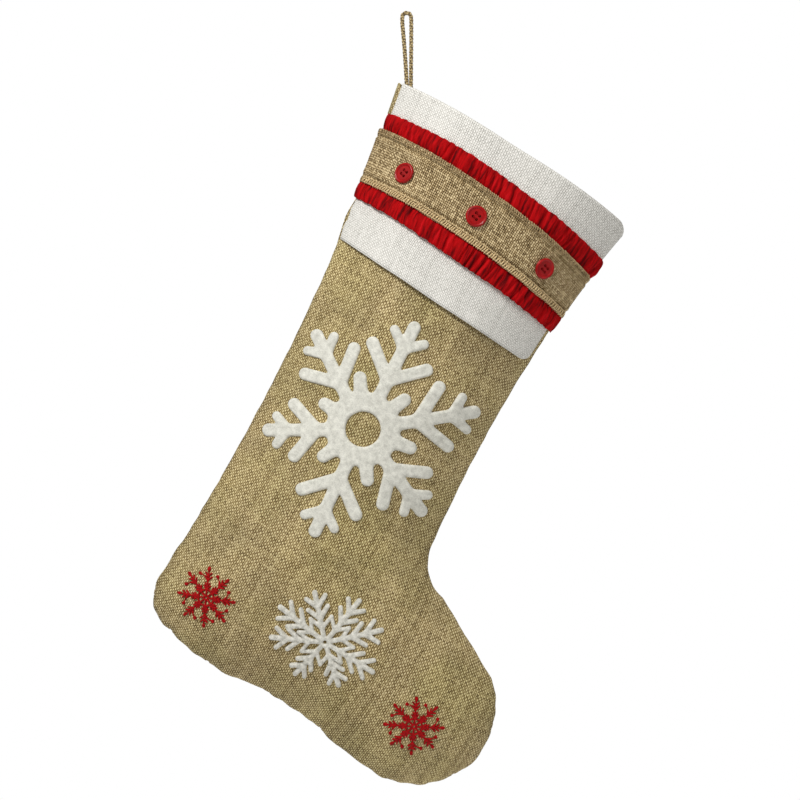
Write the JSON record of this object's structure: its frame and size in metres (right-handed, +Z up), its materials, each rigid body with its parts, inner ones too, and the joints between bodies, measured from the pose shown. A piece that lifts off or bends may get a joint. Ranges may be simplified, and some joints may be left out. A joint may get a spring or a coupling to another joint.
{
  "type": "hanging stocking",
  "caption": "Lined burlap stocking with a white cuff, red ruffles, a buttoned band and snowflakes, hung by a cord loop.",
  "frame": {"origin": "centre of the cord loop's eye, where the hook's pin passes", "axes": "+X towards the toe side, +Y from the front panel to the back panel, +Z up"},
  "size_m": [0.3534, 0.0761, 0.5811],
  "materials": {
    "burlap": "matte",
    "white_linen": "matte",
    "red_fabric": "matte",
    "white_felt": "matte",
    "red_thread": "satin",
    "natural_thread": "matte",
    "lining_cloth": "matte",
    "jute_cord": "matte",
    "red_button": "gloss"
  },
  "bodies": {
    "loop": {"hanging_loop": "jute_cord"},
    "neck": {"loop_neck": "jute_cord"},
    "stocking": {"loop_tails": "jute_cord", "loop_bar_tack": "natural_thread", "front_panel": "burlap", "back_panel": "burlap", "front_lining": "lining_cloth", "back_lining": "lining_cloth", "seam_allowance": "burlap", "seam_stitching": "natural_thread", "cuff": "white_linen", "ruffle_upper": "red_fabric", "ruffle_lower": "red_fabric", "burlap_band": "burlap", "band_stitching_upper": "natural_thread", "band_stitching_lower": "natural_thread", "back_hem_stitching": "natural_thread", "button_left": "red_button", "button_middle": "red_button", "button_right": "red_button", "button_thread_left": "red_thread", "button_thread_middle": "red_thread", "button_thread_right": "red_thread", "felt_snowflake": "white_felt", "small_snowflake": "white_felt", "red_snowflake_heel": "red_thread", "red_snowflake_toe": "red_thread"}
  },
  "joints": [
    {"name": "sideways_swing", "type": "hinge", "parent": "loop", "child": "neck", "pos_m": [0.00165, 0, -0.0504], "axis": [0, 1, 0], "range_deg": [-24, 24]},
    {"name": "fore_aft_swing", "type": "hinge", "parent": "neck", "child": "stocking", "pos_m": [0.00165, 0, -0.0504], "axis": [1, 0, 0], "range_deg": [-24, 24]}
  ]
}
